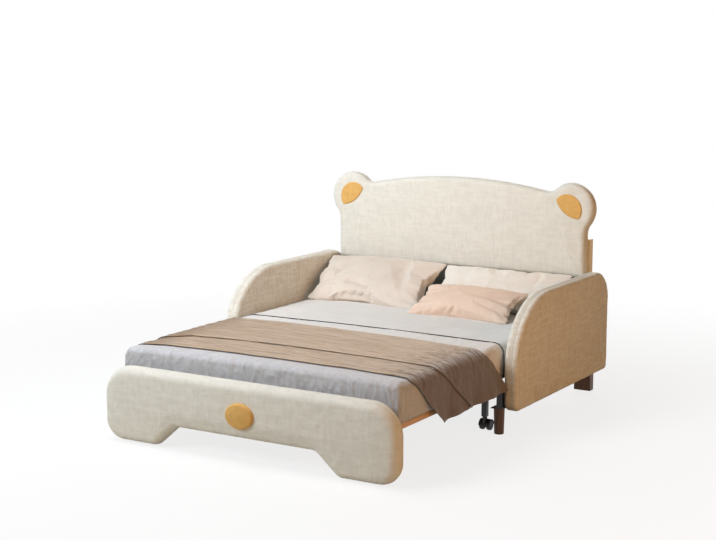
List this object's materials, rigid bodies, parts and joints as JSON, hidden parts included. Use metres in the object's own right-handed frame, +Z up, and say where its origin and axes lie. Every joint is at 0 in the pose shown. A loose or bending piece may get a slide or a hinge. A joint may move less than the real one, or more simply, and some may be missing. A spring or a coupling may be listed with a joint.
{
  "type": "pull-out upholstered bed",
  "caption": "Padded bed for a child with an eared headboard, side arms and a slatted front half that slides out on casters.",
  "frame": {"origin": "on the floor under the middle of the bed's outline, pulled out", "axes": "+X to the right seen from the foot, +Y from the foot towards the head, +Z up"},
  "size_m": [1.748, 2.25, 1.142],
  "materials": {
    "cream_fabric": "soft woven upholstery",
    "caramel_fabric": "soft woven upholstery",
    "grey_fabric": "thin woven lining",
    "mattress_cover": "smooth fitted sheet",
    "sheet_white": "smooth fitted sheet",
    "throw_wool": "knitted",
    "beige_cotton": "soft cotton",
    "cream_cotton": "soft cotton",
    "peach_cotton": "soft cotton",
    "pine": "satin varnish",
    "walnut": "dark stain",
    "black_steel": "satin black",
    "zinc_steel": "zinc plated",
    "black_plastic": "matte",
    "felt": "dense felt"
  },
  "bodies": {
    "bed_base": {"arm_board_left": "cream_fabric", "arm_board_right": "cream_fabric", "arm_inner_pad_left": "cream_fabric", "arm_inner_pad_right": "cream_fabric", "arm_outer_pad_left": "cream_fabric", "arm_outer_pad_right": "cream_fabric", "centre_legs": "black_steel", "ear_patch_left": "caramel_fabric", "ear_patch_right": "caramel_fabric", "fixed_slat_1": "pine", "fixed_slat_2": "pine", "fixed_slat_3": "pine", "fixed_slat_4": "pine", "fixed_slat_5": "pine", "fixed_slat_6": "pine", "fixed_spacers": "felt", "frame_bolts": "zinc_steel", "front_cross_beam": "black_steel", "front_leg_left": "walnut", "front_leg_right": "walnut", "headboard_board": "cream_fabric", "headboard_pad": "cream_fabric", "headboard_post_left": "pine", "headboard_post_right": "pine", "left_pillow": "beige_cotton", "low_back_panel": "grey_fabric", "rail_brackets": "zinc_steel", "rear_cross_beam": "black_steel", "rear_foot_left": "walnut", "rear_foot_right": "walnut", "rear_mattress": "sheet_white", "right_pillow": "cream_cotton", "side_rail_left": "black_steel", "side_rail_right": "black_steel", "small_pillow": "peach_cotton"},
    "pullout": {"footboard_pad": "cream_fabric", "footboard_board": "cream_fabric", "nose": "caramel_fabric", "pullout_rail_left": "pine", "pullout_rail_right": "pine", "pullout_slat_1": "pine", "pullout_slat_2": "pine", "pullout_slat_3": "pine", "pullout_slat_4": "pine", "pullout_slat_5": "pine", "pullout_front_beam": "pine", "pullout_rear_beam": "black_steel", "caster_post_left": "black_steel", "caster_post_right": "black_steel", "footboard_bolts": "zinc_steel", "front_mattress": "mattress_cover", "throw": "throw_wool", "front_wheel_forks": "black_steel", "pullout_spacers": "felt"},
    "caster_housing_left": {"caster_housing_left": "black_plastic"},
    "caster_wheels_left": {"caster_wheels_left": "black_plastic"},
    "front_wheel_left": {"front_wheel_left": "black_plastic"},
    "caster_housing_right": {"caster_housing_right": "black_plastic"},
    "caster_wheels_right": {"caster_wheels_right": "black_plastic"},
    "front_wheel_right": {"front_wheel_right": "black_plastic"}
  },
  "joints": [
    {"name": "pullout_slide", "type": "slide", "parent": "bed_base", "child": "pullout", "axis": [0, 1, 0], "range_m": [0, 0.85], "deforming": ["front_mattress", "throw"]},
    {"name": "caster_swivel_left", "type": "hinge", "parent": "pullout", "child": "caster_housing_left", "pos_m": [-0.685, 0.001, 0.072], "axis": [0, 0, 1], "continuous": true},
    {"name": "caster_roll_left", "type": "hinge", "parent": "caster_housing_left", "child": "caster_wheels_left", "pos_m": [-0.685, 0.017, 0.025], "axis": [1, 0, 0], "continuous": true},
    {"name": "caster_swivel_right", "type": "hinge", "parent": "pullout", "child": "caster_housing_right", "pos_m": [0.685, 0.001, 0.072], "axis": [0, 0, 1], "continuous": true},
    {"name": "caster_roll_right", "type": "hinge", "parent": "caster_housing_right", "child": "caster_wheels_right", "pos_m": [0.685, 0.017, 0.025], "axis": [1, 0, 0], "continuous": true},
    {"name": "front_wheel_roll_left", "type": "hinge", "parent": "pullout", "child": "front_wheel_left", "pos_m": [-0.61, -0.991, 0.025], "axis": [1, 0, 0], "continuous": true},
    {"name": "front_wheel_roll_right", "type": "hinge", "parent": "pullout", "child": "front_wheel_right", "pos_m": [0.61, -0.991, 0.025], "axis": [1, 0, 0], "continuous": true}
  ]
}
